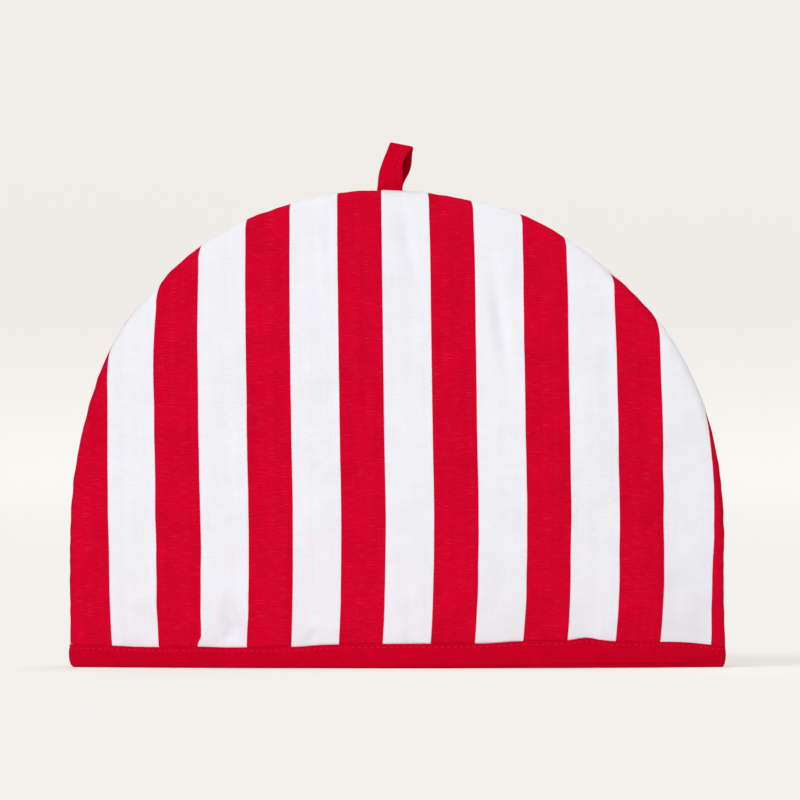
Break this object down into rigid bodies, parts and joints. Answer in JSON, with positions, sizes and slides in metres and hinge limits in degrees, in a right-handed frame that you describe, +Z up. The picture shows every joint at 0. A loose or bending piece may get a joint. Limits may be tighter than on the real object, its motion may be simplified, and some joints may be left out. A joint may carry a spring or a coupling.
{
  "type": "tea cosy",
  "caption": "Padded dome cover that stands open on its bound hem and drops over a teapot, with striped cotton panels and a hanging loop at the top.",
  "frame": {"origin": "on the surface that the cosy stands on, under the middle of its mouth", "axes": "+Z up towards the loop, +X along the width, -Y out of the front panel"},
  "size_m": [0.3522, 0.0915, 0.2823],
  "materials": {
    "front_stripe": "plain-weave cotton in upright red and white stripes, matt, padded",
    "back_stripe": "plain-weave cotton in upright red and white stripes, matt, padded",
    "binding_red": "folded red cotton strip, matt, topstitched",
    "loop_red": "folded red cotton tape, matt"
  },
  "bodies": {
    "root": {"panel_front": "front_stripe", "panel_back": "back_stripe", "hem_binding": "binding_red", "hanging_loop": "loop_red"}
  },
  "joints": []
}
